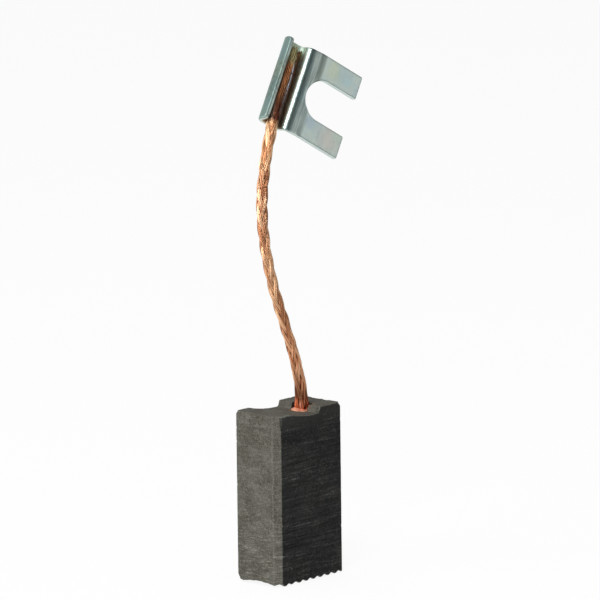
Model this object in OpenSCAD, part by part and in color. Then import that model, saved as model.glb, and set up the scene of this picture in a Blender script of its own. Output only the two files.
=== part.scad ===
// Carbon brush with a copper pigtail and a fork terminal.
// Frame: origin at the middle of the contact face, +Z towards the head, +X across the broad face.

/* [Carbon block] */
// Width of the block across its broad face
block_w = 11; // [9:0.5:14]
// Thickness of the block, along the commutator's turn
block_t = 6.3; // [5:0.1:8]
// Length of the block from the contact ridges to the head
block_h = 20; // [14:0.5:26]
// Leg of the key chamfer on two opposite long edges
key_chamfer = 0.8; // [0.3:0.1:1.2]

/* [Contact face] */
// Radius of the commutator that the contact face is ground to
commutator_r = 12; // [8:0.5:30]
// Distance from one bedding-in ridge to the next
ridge_pitch = 1.22; // [0.9:0.02:2]
// Depth of the grooves between the ridges
groove_depth = 0.22; // [0.1:0.02:0.3]
// Radius of the round bottom of each groove
groove_r = 0.5; // [0.35:0.05:0.6]

/* [Spring seat] */
// Depth of the seat below the head
seat_depth = 0.7; // [0.3:0.1:1.2]
// Radius of the seat's long sweep
seat_r = 19; // [14:1:28]
// Distance of the seat's steep wall from the block's middle
seat_wall_x = 1.9; // [1:0.1:3]
// Lean of the steep wall from upright, in degrees
seat_wall_lean = 20; // [5:5:40]

/* [Pigtail hole] */
// Diameter of the hole that the pigtail is tamped into
hole_d = 2.5; // [2:0.1:3]
// Depth of the tamped copper below the seat
plug_depth = 6; // [4:0.5:9]
// Distance of the hole from the block's middle, across the broad face
hole_x = 2.2; // [1.8:0.1:2.6]
// Distance of the hole from the block's middle, through its thickness
hole_y = -0.1; // [-0.4:0.1:0.4]

/* [Pigtail] */
// Diameter of the copper braid
wire_d = 1.2; // [0.8:0.1:1.6]

/* [Fork terminal] */
// Thickness of the zinc-plated sheet
sheet_t = 0.6; // [0.4:0.05:0.8]
// Height of the terminal along the pigtail
fork_h = 10.4; // [8:0.2:13]
// Width of the slot for the terminal screw
slot_w = 4.7; // [3.7:0.1:5.3]
// Depth of the slot from the arms' ends to the bottom of its round end
slot_depth = 6.8; // [5.4:0.1:6.8]
// Length of the flat fork blade, from the arms' ends to the crease
blade_l = 6.1; // [6:0.1:8]
// Bend of the shallow crease at the foot of the blade, in degrees
crease_bend = 10; // [5:5:20]
// Inside radius of the crease
crease_r = 1; // [0.6:0.1:1.4]
// Flat between the crease and the shoulder
shoulder_run = 1.2; // [0.9:0.1:2]
// Inside radius of the shoulder bend
shoulder_r = 0.3; // [0.2:0.05:0.5]
// Inside width of the trough that holds the pigtail
trough_w = 2.3; // [2:0.05:3]
// Inside radius of the trough's two corners
trough_r = 0.5; // [0.3:0.05:0.7]
// Straight height of the trough's wall beside the blade
near_wall = 0.05; // [0.05:0.05:0.5]
// Straight height of the trough's free wall
free_wall = 0.8; // [0.4:0.05:1.2]
// Corner radius at both ends of the free wall
lip_corner_r = 0.5; // [0.2:0.1:0.6]
// Gap between the pigtail and the trough's floor
wire_gap = 0.05; // [0.02:0.01:0.1]

/* [Hidden] */
$fn = 96;
cut = 1;

// Heights and counts that follow from the sizes above
seat_z = block_h - seat_depth;
seat_low_x = seat_wall_x - seat_depth * tan(seat_wall_lean);
commutator_z = -sqrt(commutator_r * commutator_r - block_t * block_t / 4);
groove_count = round(block_w / ridge_pitch);
groove_centre_r = commutator_r + groove_depth - groove_r;

// The strip's middle line in the trough, with the pigtail's axis at the origin
trough_mid_x = (trough_w + sheet_t) / 2;
floor_mid_y = wire_d / 2 + wire_gap + sheet_t / 2;
corner_mid_r = trough_r + sheet_t / 2;

// Each fold of the strip: its flat, the bend after it in degrees, and the bend's inside radius
FOLDS = [
    [free_wall, -90, trough_r],
    [trough_w - 2 * trough_r, -90, trough_r],
    [near_wall, 90 - crease_bend, shoulder_r],
    [shoulder_run, crease_bend, crease_r],
    [blade_l, 0, 0]
];
BEND_STEP = 15;

// The pigtail's route: up from the hole, out in a bow, and straight up the trough
ROUTE = [
    [2.2, -0.1, 19.3], [2.1, -0.2, 20.6], [1.7, -0.4, 22.2], [1, -0.5, 24.4],
    [0.3, -0.5, 26.6], [-0.4, -0.3, 28.8], [-1, 0, 31], [-1.5, 0.4, 33.2],
    [-1.8, 0.8, 35.4], [-2, 1.2, 37.6], [-1.9, 1.7, 39.9], [-1.7, 2.1, 42.2],
    [-1.2, 2.5, 44.5], [-0.4, 2.9, 46.7], [0.5, 3.3, 48.8], [1.4, 3.6, 50.6],
    [2.2, 3.8, 52.2], [3.4, 4, 54], [4.7, 4.2, 55.8], [5.9, 4.4, 57.7], [7.1, 4.6, 59.5]
];
WIRE_SIDES = 8;

// Where the pigtail enters the terminal, how the pigtail leans there, and the terminal's turn about it
terminal_foot = [2.1, 3.8, 52];
terminal_lean = [-5, 34, 0];
terminal_turn = -12;

// Where the strip's middle line ends, x and y, after the folds from i on
function after_fold(f) = let (r = f[2] + sheet_t / 2, a = abs(f[1]), s = sign(f[1]))
    [f[0] + r * sin(a), s * r * (1 - cos(a))];
function turned(p, a) = [p.x * cos(a) - p.y * sin(a), p.x * sin(a) + p.y * cos(a)];
function strip_end(i = 0) = i == len(FOLDS)
    ? [0, 0]
    : after_fold(FOLDS[i]) + turned(strip_end(i + 1), FOLDS[i][1]);

// The strip starts at the free wall's lip and heads for the floor
strip_start = [-trough_mid_x, floor_mid_y - corner_mid_r - free_wall];
blade_end_x = strip_start.x + turned(strip_end(), 90).x;
blade_mid_y = strip_start.y + turned(strip_end(), 90).y;

// Outline of the block seen from its head, with its two keyed corners
module block_outline() {
    x = block_w / 2;
    y = block_t / 2;
    k = key_chamfer;
    polygon([[-x + k, -y], [x, -y], [x, y - k], [x - k, y], [-x, y], [-x, -y + k]]);
}

// The commutator with a bead for each groove, which the contact face is ground against
module ridged_commutator() {
    translate([0, 0, commutator_z])
        rotate([0, 90, 0])
            rotate_extrude() {
                translate([0, -block_w / 2 - cut])
                    square([commutator_r, block_w + 2 * cut]);
                for (i = [0 : groove_count - 1])
                    translate([groove_centre_r, (i - (groove_count - 1) / 2) * ridge_pitch])
                        circle(groove_r);
            }
}

// Space of the spring seat: a long sweep that ends at a steep wall
module spring_seat() {
    translate([0, block_t / 2 + cut, 0])
        rotate([90, 0, 0])
            linear_extrude(block_t + 2 * cut)
                intersection() {
                    translate([seat_low_x, seat_z + seat_r])
                        circle(seat_r);
                    polygon([
                        [-block_w, seat_z - cut],
                        [seat_low_x - cut * tan(seat_wall_lean), seat_z - cut],
                        [seat_wall_x + cut * tan(seat_wall_lean), block_h + cut],
                        [-block_w, block_h + cut]
                    ]);
                }
}

// Carbon block, ground from one bar
module carbon_block() {
    color([0.22, 0.22, 0.21])
        difference() {
            linear_extrude(block_h)
                block_outline();
            ridged_commutator();
            spring_seat();
            translate([hole_x, hole_y, seat_z - plug_depth])
                cylinder(h = plug_depth + seat_depth + cut, d = hole_d);
        }
}

// Copper powder tamped round the pigtail's end, level with the seat
module copper_plug() {
    color([0.75, 0.38, 0.25])
        translate([hole_x, hole_y, seat_z - plug_depth])
            cylinder(h = plug_depth, d = hole_d);
}

// Direction of the route at point i
function heading(i) =
    let (a = ROUTE[max(i - 1, 0)], b = ROUTE[min(i + 1, len(ROUTE) - 1)]) (b - a) / norm(b - a);

// One ring of the tube round point i; the first lies flat on the plug
function ring(i) =
    let (
        t = i == 0 ? [0, 0, 1] : heading(i),
        side = cross([0, 1, 0], t) / norm(cross([0, 1, 0], t)),
        up = cross(t, side)
    )
    [for (k = [0 : WIRE_SIDES - 1])
        let (a = 360 * k / WIRE_SIDES) ROUTE[i] + wire_d / 2 * (cos(a) * side + sin(a) * up)];

// Copper pigtail as a plain tube
module pigtail() {
    rings = len(ROUTE);
    n = WIRE_SIDES;
    points = [for (i = [0 : rings - 1]) each ring(i)];
    walls = [for (i = [0 : rings - 2], k = [0 : n - 1])
        [i * n + k, (i + 1) * n + k, (i + 1) * n + (k + 1) % n, i * n + (k + 1) % n]];
    foot = [for (k = [0 : n - 1]) k];
    tip = [for (k = [n - 1 : -1 : 0]) (rings - 1) * n + k];
    color([0.8, 0.5, 0.33])
        polyhedron(points, concat([foot], walls, [tip]));
}

// Points of one bend on the side of the strip that side picks: 1 is its left, -1 its right
function bend_points(f, side) =
    let (
        mid_r = f[2] + sheet_t / 2,
        turn = sign(f[1]),
        side_r = mid_r - side * turn * sheet_t / 2,
        steps = ceil(abs(f[1]) / BEND_STEP)
    )
    [for (k = [0 : steps])
        let (a = abs(f[1]) * k / max(steps, 1))
            [f[0] + side_r * sin(a), (turn == 0 ? side * sheet_t / 2 : turn * (mid_r - side_r * cos(a)))]];

// One side of the folded strip from fold i on, drawn from its middle line at the origin along +x
function strip_side(side, i = 0) = i == len(FOLDS)
    ? []
    : concat(
        bend_points(FOLDS[i], side),
        [for (p = strip_side(side, i + 1)) after_fold(FOLDS[i]) + turned(p, FOLDS[i][1])]
    );

// Cross-section of the folded strip, from the free wall's lip to the arms' ends
module folded_strip() {
    left = strip_side(1);
    right = strip_side(-1);
    lip = [[0, -sheet_t / 2], [0, sheet_t / 2]];
    polygon(concat(lip, left, [for (k = [len(right) - 1 : -1 : 0]) right[k]]));
}

// The slot across the blade, open at the arms' ends, and its round end
module screw_slot() {
    round_x = blade_end_x - slot_depth + slot_w / 2;
    translate([round_x, blade_mid_y + sheet_t / 2 + cut, fork_h / 2])
        rotate([90, 0, 0]) {
            cylinder(h = sheet_t + 2 * cut, d = slot_w);
            translate([0, -slot_w / 2, 0])
                cube([slot_depth, slot_w, sheet_t + 2 * cut]);
        }
}

// What rounds off one end of the free wall
module lip_corner() {
    r = lip_corner_r;
    translate([-trough_w / 2 - sheet_t - cut, strip_start.y, 0])
        rotate([90, 0, 90])
            difference() {
                translate([-cut, -cut, 0])
                    cube([cut + r, cut + r, sheet_t + 2 * cut]);
                translate([r, r, -cut])
                    cylinder(h = sheet_t + 4 * cut, r = r);
            }
}

// Zinc-plated fork terminal, stamped and folded from one sheet
module fork_terminal() {
    color([0.68, 0.72, 0.7])
        translate(terminal_foot)
            rotate(terminal_lean)
                rotate(terminal_turn)
                    difference() {
                        linear_extrude(fork_h)
                            translate(strip_start)
                                rotate(90)
                                    folded_strip();
                        screw_slot();
                        lip_corner();
                        translate([0, 0, fork_h])
                            mirror([0, 0, 1])
                                lip_corner();
                    }
}

carbon_block();
copper_plug();
pigtail();
fork_terminal();
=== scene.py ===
"""Visual model of a carbon brush: carbon block, tamped copper, braided pigtail and fork terminal.

The scene is in metres, in the frame of the CAD part. The sizes that the classes hold are in millimetres.
"""

from __future__ import annotations

import logging
import math
from abc import ABC, abstractmethod
from dataclasses import dataclass, field
from enum import Enum
from typing import ClassVar, Mapping, Sequence, Union

import bpy
import numpy as np
from mathutils import Matrix, Vector

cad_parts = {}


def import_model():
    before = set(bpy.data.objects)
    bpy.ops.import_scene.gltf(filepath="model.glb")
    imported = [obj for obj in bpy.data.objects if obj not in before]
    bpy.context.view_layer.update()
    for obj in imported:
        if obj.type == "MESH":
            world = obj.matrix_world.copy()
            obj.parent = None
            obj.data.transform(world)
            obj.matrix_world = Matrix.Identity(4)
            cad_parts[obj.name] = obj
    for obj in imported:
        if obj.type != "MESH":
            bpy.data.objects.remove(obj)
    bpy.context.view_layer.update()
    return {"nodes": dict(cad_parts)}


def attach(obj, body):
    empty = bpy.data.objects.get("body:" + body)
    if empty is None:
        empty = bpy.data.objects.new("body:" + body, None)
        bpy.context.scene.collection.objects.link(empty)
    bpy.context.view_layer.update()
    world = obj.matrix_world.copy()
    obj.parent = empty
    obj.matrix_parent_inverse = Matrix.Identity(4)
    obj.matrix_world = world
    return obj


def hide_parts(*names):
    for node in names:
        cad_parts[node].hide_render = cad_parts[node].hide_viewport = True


LOG = logging.getLogger("carbon_brush")
MM = 0.001
ROOT = "root"
Colour = tuple[float, float, float]
PURE_WHITE: Colour = (1.0, 1.0, 1.0)
TUBE_SIDES = 6
TURNED_OVER = [0, 3, 2, 1]


# ---------------------------------------------------------------- shader expressions


class Socket:
    """An output socket in a shader. Python's operators on it add nodes.

    Numbers get Math nodes. Vectors and colours get Vector Math and Mix nodes.
    """

    def __init__(self, graph: Graph, output: bpy.types.NodeSocket) -> None:
        """Wraps an output socket.

        Args:
            graph: The graph that it is in.
            output: The socket.
        """
        self.graph = graph
        self.output = output
        self.is_number = output.type == "VALUE"

    def __add__(self, other: Term) -> Socket:
        """Sum."""
        return self.graph.combined("ADD", self, other)

    def __radd__(self, other: Term) -> Socket:
        """Sum with a plain value on the left."""
        return self.graph.combined("ADD", other, self)

    def __sub__(self, other: Term) -> Socket:
        """Difference."""
        return self.graph.combined("SUBTRACT", self, other)

    def __rsub__(self, other: Term) -> Socket:
        """Difference from a plain value on the left."""
        return self.graph.combined("SUBTRACT", other, self)

    def __mul__(self, other: Term) -> Socket:
        """Product, axis by axis for vectors and colours."""
        return self.graph.combined("MULTIPLY", self, other)

    def __rmul__(self, other: Term) -> Socket:
        """Product with a plain value on the left."""
        return self.graph.combined("MULTIPLY", other, self)

    def at_most(self, limit: Term) -> Socket:
        """The lesser of this and a limit."""
        return self.graph.combined("MINIMUM", self, limit)

    def distance_to(self, centre: float) -> Socket:
        """How far the number is from a centre."""
        return self.graph.add("ShaderNodeMath", {"operation": "ABSOLUTE"}, {0: self - centre})

    def length(self) -> Socket:
        """Length of the vector."""
        return self.graph.add("ShaderNodeVectorMath", {"operation": "LENGTH"}, {0: self}, "Value")

    def axis(self, name: str) -> Socket:
        """One of the vector's axes, by its name: X, Y or Z."""
        return self.graph.add("ShaderNodeSeparateXYZ", {}, {"Vector": self}, name)

    def rise(self, low: float, high: float) -> Socket:
        """Smooth step of the number.

        Args:
            low: Where the step is still 0.
            high: Where the step has reached 1. It may be less than low, for a step down.

        Returns:
            A number from 0 to 1.
        """
        settings = {"interpolation_type": "SMOOTHSTEP", "clamp": True}
        sockets = {"Value": self, "From Min": low, "From Max": high}
        return self.graph.add("ShaderNodeMapRange", settings, sockets)

    def towards(self, colour: Term, mask: Term) -> Socket:
        """This colour where the mask is 0 and another where it is 1."""
        return self.graph.mixed("MIX", self, colour, mask)

    def tinted(self, *layers: tuple[float | Colour, Term]) -> Socket:
        """This colour under layers that multiply it.

        Args:
            layers: Each layer's tint, or one factor for the whole colour, and its mask.

        Returns:
            The tinted colour.
        """
        tone = self
        for tint, mask in layers:
            tone = self.graph.mixed("MULTIPLY", tone, tint if isinstance(tint, tuple) else (tint,) * 3, mask)
        return tone


Term = Union[float, Colour, Socket]


class Graph:
    """The nodes of one material or of the world."""

    def __init__(self, tree: bpy.types.NodeTree) -> None:
        """Starts an empty graph in a node tree, which is cleared."""
        tree.nodes.clear()
        self.tree = tree

    def add(
        self,
        kind: str,
        settings: Mapping[str, object],
        sockets: Mapping[Union[str, int], Term],
        output: Union[str, int] = 0,
    ) -> Socket | None:
        """Adds one node.

        Args:
            kind: Blender's name for the node's type.
            settings: The node's own settings, which are set first.
            sockets: What goes into each input socket, by its name or number.
            output: The output to hand back, by its name or number.

        Returns:
            That output, or nothing if the node has none.
        """
        node = self.tree.nodes.new(kind)
        for name, setting in settings.items():
            setattr(node, name, setting)
        for key, source in sockets.items():
            target = node.inputs[key]
            if isinstance(source, Socket):
                self.tree.links.new(source.output, target)
            else:
                target.default_value = (*source, 1.0) if target.type == "RGBA" else source
        return Socket(self, node.outputs[output]) if node.outputs else None

    def combined(self, operation: str, first: Term, second: Term) -> Socket:
        """One Math node on two numbers, or one Vector Math node if either is a vector or a colour.

        Args:
            operation: Blender's name for what the node does.
            first: What goes in first.
            second: What goes in second.

        Returns:
            The result.
        """
        kind = "ShaderNodeMath"
        terms = [first, second]
        if not all(isinstance(term, (int, float)) or getattr(term, "is_number", False) for term in terms):
            kind = "ShaderNodeVectorMath"
            terms = [(term,) * 3 if isinstance(term, (int, float)) else term for term in terms]
        return self.add(kind, {"operation": operation}, dict(enumerate(terms)))

    def mixed(self, blend: str, first: Term, second: Term, mask: Term) -> Socket:
        """One Mix node: the first colour where the mask is 0, blended with the second where it is 1."""
        settings = {"data_type": "RGBA", "blend_type": blend, "clamp_factor": True}
        return self.add("ShaderNodeMix", settings, {0: mask, 6: first, 7: second}, 2)

    def between(self, first: Term, second: Term, mask: Term) -> Socket:
        """The first colour where the mask is 0 and the second where it is 1."""
        return self.mixed("MIX", first, second, mask)

    def ray(self, kind: str) -> Socket:
        """1 for one kind of ray, by its name, and 0 for the others."""
        return self.add("ShaderNodeLightPath", {}, {}, f"Is {kind} Ray")

    def place(self) -> Socket:
        """Where a point of the surface is on the object, in millimetres."""
        return self.add("ShaderNodeTexCoord", {}, {}, "Object") * (1 / MM)

    def mark(self, name: str, output: str = "Fac") -> Socket:
        """A number, or with the output Vector a vector, that the mesh carries on its points."""
        return self.add("ShaderNodeAttribute", {"attribute_name": name}, {}, output)

    def noise(self, where: Socket, scale: float, detail: float = 3.0, rough: float = 0.55) -> Socket:
        """Noise about 0.5, of scale cells in a unit of where, with detail octaves that add up by rough."""
        sockets = {"Vector": where, "Scale": scale, "Detail": detail, "Roughness": rough}
        return self.add("ShaderNodeTexNoise", {"noise_dimensions": "3D"}, sockets)

    def cells(self, where: Socket, scale: float) -> Socket:
        """Distance in cells to the nearest of scattered points, of which a unit of where holds scale."""
        settings = {"voronoi_dimensions": "3D", "feature": "F1"}
        return self.add("ShaderNodeTexVoronoi", settings, {"Vector": where, "Scale": scale}, "Distance")

    def surface(
        self, colour: Socket, roughness: Socket, relief: Socket, constants: Mapping[str, float]
    ) -> None:
        """Ends the graph in a Principled shader.

        Args:
            colour: The surface's colour.
            roughness: Its roughness.
            relief: Height of its fine relief in millimetres.
            constants: Values of the shader's other sockets, by their names.
        """
        bump = self.add("ShaderNodeBump", {}, {"Strength": 1.0, "Distance": MM, "Height": relief})
        sockets = {"Base Color": colour, "Roughness": roughness, "Normal": bump, **constants}
        self.finish(self.add("ShaderNodeBsdfPrincipled", {}, sockets))

    def finish(self, shader: Socket) -> None:
        """Ends a material's graph in its output."""
        self.add("ShaderNodeOutputMaterial", {}, {"Surface": shader})


# ---------------------------------------------------------------- finishes


@dataclass(frozen=True)
class TampedHole:
    """The hole in the block's head that holds the pigtail's end and the powder round it.

    Attributes:
        centre: Its place across the block.
        diameter: Its diameter.
        depth: Its depth below its rim.
        rim: Height of its rim, which is the floor of the spring seat.
    """

    centre: tuple[float, float] = (2.2, -0.1)
    diameter: float = 2.5
    depth: float = 6.0
    rim: float = 19.3


@dataclass(frozen=True)
class Finish(ABC):
    """What a surface looks like.

    Attributes:
        name: The material's name.
    """

    name: str

    def material(self) -> bpy.types.Material:
        """Makes a material with this finish.

        Returns:
            The material.
        """
        material = bpy.data.materials.new(self.name)
        material.use_nodes = True
        self.paint(Graph(material.node_tree))
        return material

    @abstractmethod
    def paint(self, graph: Graph) -> None:
        """Builds the material's nodes in an empty graph."""


@dataclass(frozen=True)
class GroundCarbon(Finish):
    """Electrographite, ground on its sides and polished on its contact face.

    Attributes:
        narrow: Colour of the narrow sides and the ends.
        broad: Colour of the broad sides, far darker than the narrow sides: partly their ground finish, partly
            painted shade.
        by_head: Colour of the broad sides close to the head.
        worn: Colour of rubbed edges and nicks, and of the painted highlight along the edges.
        copper: Colour of the copper dust round the hole.
        specular: Strength of the mirror light that the carbon throws back.
        hole: The hole that the dust lies round.
        chamfer_highlight_edge: Product of the places across and along the block of the key chamfers'
            narrow-side edges, where a painted highlight runs.
    """

    narrow: Colour = (0.11, 0.106, 0.088)
    broad: Colour = (0.0192, 0.0195, 0.0195)
    by_head: Colour = (0.037, 0.036, 0.031)
    worn: Colour = (0.21, 0.21, 0.19)
    copper: Colour = (0.42, 0.17, 0.09)
    specular: float = 0.1
    hole: TampedHole = TampedHole()
    chamfer_highlight_edge: float = 12.9

    def paint(self, graph: Graph) -> None:
        """Builds the speckle, the grinding marks, the worn edges and the copper dust.

        Args:
            graph: The material's graph, still empty.
        """
        place = graph.place()
        height = place.axis("Z")
        broad, ends = graph.mark("broad"), graph.mark("ends")
        sides = 1.0 - ends
        speckle = graph.noise(place, 4.6, 3.0, 0.8)
        dots = graph.noise(place, 9.0, 2.0, 0.7)
        clouds = graph.noise(place, 0.5, 3.0, 0.6)
        patches = graph.noise(place + (4.0, 1.0, 9.0), 1.3, 3.0, 0.6)
        saw = graph.noise(place * (0.16, 0.4, 2.7), 1.0, 4.0, 0.8)
        lines = graph.noise(place * (0.3, 0.8, 9.0) + (2.0, 6.0, 0.0), 1.0, 2.0, 0.6)
        pits = graph.cells(place, 2.9).rise(0.3, 0.1) * patches.rise(0.45, 0.6)
        nicks = graph.noise(place * (1.2, 1.2, 6.5) + (7.0, 3.0, 1.0), 1.0, 2.0, 0.6).rise(0.69, 0.76)
        blooms = graph.noise(place * 1.1 + (1.0, 8.0, 5.0), 1.0, 1.0).rise(0.6, 0.72)
        drift = graph.noise(place + (3.0, 5.0, 2.0), 0.22, 2.0, 0.5).rise(0.42, 0.58)

        grains = 0.55 + 0.45 * broad + 0.3 * clouds.rise(0.4, 0.6)
        ground = sides * (broad * (0.3 + 0.36 * patches) + 0.24 + 0.25 * height.rise(10.0, 6.0))
        # The broad sides are painted far darker than the narrow sides: partly their ground finish, partly
        # painted shade.
        tone = graph.between(self.narrow, self.broad, broad).tinted(
            ((0.5, 0.5, 0.52), speckle.rise(0.58, 0.34) * grains),
            ((1.8, 1.8, 1.75), speckle.rise(0.54, 0.76) * grains),
            (0.3, dots.rise(0.46, 0.3) * grains * 0.8),
            ((2.4, 2.4, 2.35), dots.rise(0.56, 0.72) * grains * 0.7),
            ((0.76, 0.75, 0.71), clouds.rise(0.42, 0.6) * 0.8 * (1.0 - broad * 0.6)),
            ((2.5, 2.5, 2.6), saw.rise(0.5, 0.7) * ground),
            ((0.3, 0.3, 0.31), saw.rise(0.48, 0.3) * ground),
            ((2.6, 2.6, 2.7), lines.rise(0.54, 0.72) * ground * 0.8),
            (0.35, lines.rise(0.44, 0.28) * ground * 0.7),
            (0.5, pits * 0.7),
        )
        tone = tone.towards(self.worn, nicks * (0.12 + 0.3 * broad))
        tone = tone.tinted((1.35, blooms * 0.4), ((1.45, 1.4, 1.25), drift * broad * 0.7))
        tone = tone.towards(self.by_head, height.rise(17.4, 19.3) * broad * (0.3 + 0.5 * patches))
        # A painted highlight along the key chamfers' edges on the narrow sides, broken up by the speckle.
        key = (place.axis("X") * place.axis("Y")).distance_to(self.chamfer_highlight_edge).rise(0.55, 0.2)
        tone = tone.towards(self.worn, key * sides * speckle.rise(0.3, 0.7) * 0.42 * (1.0 - broad))
        # Lighter along the rubbed edges: partly rubbed carbon, partly a painted edge highlight.
        tone = tone.towards(self.worn, (graph.mark("edge") * (0.3 + speckle)).rise(0.3, 0.9) * 0.75)
        tone = tone.towards(self.copper, self.dusty(graph, place) * 0.6)

        polish = height.rise(0.75, 0.35) * ends
        relief = 0.03 * speckle + 0.03 * saw * sides * (0.12 + broad) + 0.016 * lines * sides - 0.04 * pits
        roughness = 0.6 + 0.2 * speckle - 0.3 * polish
        graph.surface(tone, roughness, relief, {"Specular IOR Level": self.specular})

    def dusty(self, graph: Graph, place: Socket) -> Socket:
        """Where copper dust lies on the head.

        Args:
            graph: The material's graph.
            place: Where a point is on the block.

        Returns:
            1 where it lies thick, 0 where there is none.
        """
        away = (place * (1.0, 1.0, 0.0) - (*self.hole.centre, 0.0)).length()
        near = away.rise(self.hole.diameter * 0.8, self.hole.diameter * 0.5)
        clumps = graph.noise(place, 5.0, 3.0).rise(0.45, 0.62)
        in_front = (place.axis("X") + place.axis("Y")).rise(2.6, 1.2)
        return near * clumps * in_front * place.axis("Z").rise(self.hole.rim - 0.7, self.hole.rim - 0.2)


@dataclass(frozen=True)
class CopperPowder(Finish):
    """Copper powder, tamped hard.

    Attributes:
        bright: Colour of the rubbed grains.
        dull: Colour between the grains.
        metal: How metallic the powder is.
    """

    bright: Colour = (0.9, 0.47, 0.32)
    dull: Colour = (0.5, 0.16, 0.08)
    metal: float = 0.75

    def paint(self, graph: Graph) -> None:
        """Builds the grains and the duller powder between them.

        Args:
            graph: The material's graph, still empty.
        """
        place = graph.place()
        grains = graph.cells(place, 5.5)
        patches = graph.noise(place, 1.8, 4.0, 0.6)
        tone = graph.between(self.bright, self.dull, grains.rise(0.25, 0.7) * 0.6)
        tone = tone.towards(self.dull, patches.rise(0.52, 0.7) * 0.6)
        graph.surface(tone, 0.42 + 0.3 * grains, patches * 0.05 - grains * 0.06, {"Metallic": self.metal})


@dataclass(frozen=True)
class BraidedCopper(Finish):
    """Fine copper wires, with a painted highlight on the crests of the braid and painted brown shade between
    them.

    Attributes:
        bright: Colour of a clean wire.
        brown: Colour of an oxidised wire.
        shade_and_dark_wire: Painted shade between the wires, and the colour that darkens dull wires near the
            root.
        glint: Painted highlight on the crests of bright wires.
        warm_glint: The same near the root.
        raw: Colour of the wires at the root.
        raw_glint: Painted highlight on their crests.
        oxide: Colours of the wires in the terminal, at its mouth and further up.
        sheen: Painted bluish gleam, a thin line along them.
        dusk: Colour of the wires in the shade of the trough's free wall.
        burnt: Colour of the shaded and burnt wires in the terminal.
        tinted_end: Colours of the welded end.
        length: Length of the pigtail along its route.
        in_terminal: Length of the stretch inside the terminal.
        waist: Place along the route of a duller stretch.
    """

    bright: Colour = (0.84, 0.53, 0.31)
    brown: Colour = (0.46, 0.2, 0.1)
    shade_and_dark_wire: Colour = (0.11, 0.028, 0.011)
    glint: Colour = (0.98, 0.7, 0.47)
    warm_glint: Colour = (0.98, 0.66, 0.42)
    raw: Colour = (0.72, 0.18, 0.08)
    raw_glint: Colour = (0.95, 0.6, 0.45)
    oxide: tuple[Colour, Colour] = ((0.1, 0.02, 0.01), (0.23, 0.1, 0.043))
    sheen: Colour = (0.34, 0.4, 0.5)
    dusk: Colour = (0.12, 0.095, 0.075)
    burnt: Colour = (0.035, 0.025, 0.024)
    tinted_end: tuple[Colour, Colour] = ((0.3, 0.28, 0.14), (0.12, 0.07, 0.03))
    length: float = 43.4
    in_terminal: float = 8.6
    waist: float = 24.5

    def paint(self, graph: Graph) -> None:
        """Builds the colours along and across the wires.

        Args:
            graph: The material's graph, still empty.
        """
        place = graph.place()
        along, crest, strand = graph.mark("along"), graph.mark("crest"), graph.mark("strand")
        patches = graph.noise(place, 0.8, 3.0, 0.6)
        fine = graph.noise(place, 3.0, 2.0, 0.6)
        clean = strand.rise(0.6, 0.3)
        lively = along.rise(15.0, 6.0)
        dull = (strand * 0.85 + patches * 0.4 + fine * 0.15).rise(0.42, 0.95)
        tone = graph.between(self.bright, self.brown, dull * 0.88)
        # Painted shade between the wires where the crest mark is low, and a painted highlight on the crests
        # of clean wires.
        tone = tone.towards(self.shade_and_dark_wire, crest.rise(0.6, 0.28) * 0.97)
        tone = tone.towards(self.glint, crest.rise(0.6, 0.9) * clean * 0.6)
        tone = (tone * (0.99, 0.96, 0.925)).tinted(
            ((0.86, 0.82, 0.82), along.distance_to(self.waist).rise(5.5, 3.0)),
            ((1.1, 1.14, 1.12), along.rise(28.0, 30.0)),
            ((0.92, 0.82, 0.76), along.rise(11.0, 3.0)),
            ((0.98, 0.85, 0.81), lively),
        )
        tone = tone.towards(self.shade_and_dark_wire, strand.rise(0.62, 0.85) * lively * 0.5)
        # A painted warm highlight on the crests of clean wires near the root.
        tone = tone.towards(self.warm_glint, strand.rise(0.5, 0.2) * crest.rise(0.5, 0.75) * lively * 0.45)
        tone = tone.tinted(((0.84, 0.76, 0.72), along.rise(6.5, 3.0)))

        root = along.rise(1.9, 0.6)
        # At the root: painted shade between the wires and a painted highlight on their crests.
        raw = graph.between(self.raw, self.shade_and_dark_wire, crest.rise(0.72, 0.48))
        tone = tone.towards(raw.towards(self.raw_glint, crest.rise(0.74, 0.95) * clean * 0.7), root * 0.9)
        mouth = self.length - self.in_terminal
        inside = along.rise(mouth - 0.5, mouth + 0.3)
        tone = tone.towards(self.oxidised(graph, mouth, fine), inside * 0.93)
        heat = graph.between(*self.tinted_end, (fine + graph.mark("lateral") * 0.4).rise(0.45, 0.65))
        tone = tone.towards(heat, along.rise(self.length - 1.9, self.length - 0.9) * 0.9)
        roughness = 0.26 + 0.16 * patches + 0.1 * root + 0.1 * inside
        graph.surface(tone, roughness, fine * 0.008, {"Metallic": 1.0})

    def oxidised(self, graph: Graph, mouth: float, fine: Socket) -> Socket:
        """Colour of the wires inside the terminal, with painted shade and a painted gleam.

        Args:
            graph: The material's graph.
            mouth: Place along the route of the terminal's mouth.
            fine: Fine noise.

        Returns:
            The colour.
        """
        along, lateral, strand = graph.mark("along"), graph.mark("lateral"), graph.mark("strand")
        tone = graph.between(*self.oxide, along.rise(mouth + 1.6, mouth + 3.4))
        tone = tone.tinted(((1.7, 1.5, 1.4), (strand + fine * 0.5).rise(0.5, 0.95)))
        # Painted shade: between the wires, on their side towards the near wall, and by the free wall.
        tone = tone.towards(self.burnt, (graph.mark("crest") * 0.6 + strand * 0.4).rise(0.42, 0.2) * 0.8)
        tone = tone.towards(self.burnt, (lateral + fine * 0.5).rise(0.2, 0.5) * 0.92)
        tone = tone.towards(self.dusk, (lateral + fine * 0.3).rise(-0.4, -0.8) * 0.8)
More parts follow.
